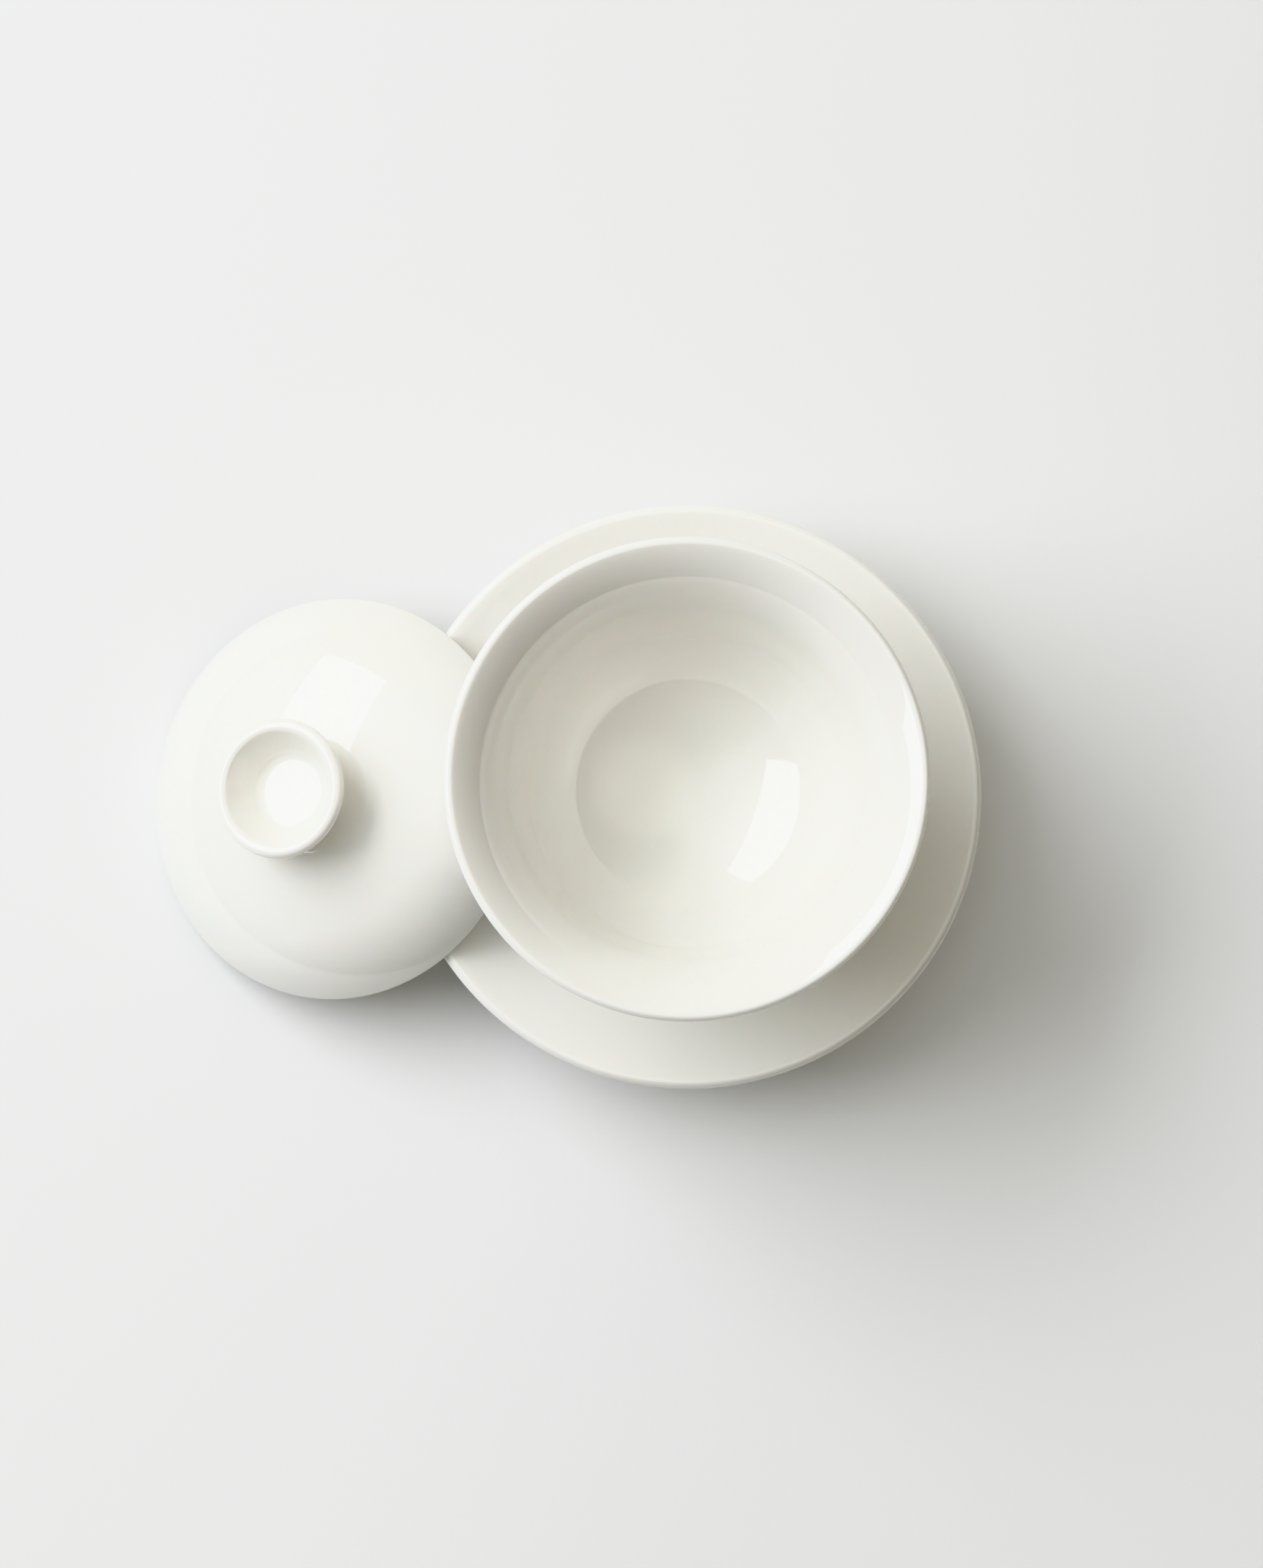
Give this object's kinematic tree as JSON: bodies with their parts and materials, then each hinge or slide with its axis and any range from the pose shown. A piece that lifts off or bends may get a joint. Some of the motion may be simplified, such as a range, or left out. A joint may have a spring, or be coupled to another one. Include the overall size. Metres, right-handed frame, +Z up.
{
  "type": "gaiwan",
  "caption": "Plain white glazed porcelain lidded tea bowl standing in its saucer, with the domed lid and its hollow knob lifted off and leaned on the saucer's rim; for brewing tea.",
  "frame": {"origin": "on the table, under the middle of the whole arrangement's box", "axes": "+X from the leaning lid towards the bowl and saucer, +Y away from the viewer, +Z up along the bowl's and saucer's axis"},
  "size_m": [0.1644, 0.115, 0.062],
  "materials": {
    "porcelain": "gloss"
  },
  "bodies": {
    "saucer": {"saucer": "porcelain"},
    "bowl": {"bowl": "porcelain"},
    "lid": {"lid": "porcelain"}
  },
  "joints": [
    {"name": "bowl_lift", "type": "slide", "parent": "saucer", "child": "bowl", "axis": [0, 0, 1], "range_m": [0, 0.1]},
    {"name": "lid_lift", "type": "slide", "parent": "saucer", "child": "lid", "axis": [-0.7071, 0, 0.7071], "range_m": [0, 0.12]}
  ]
}
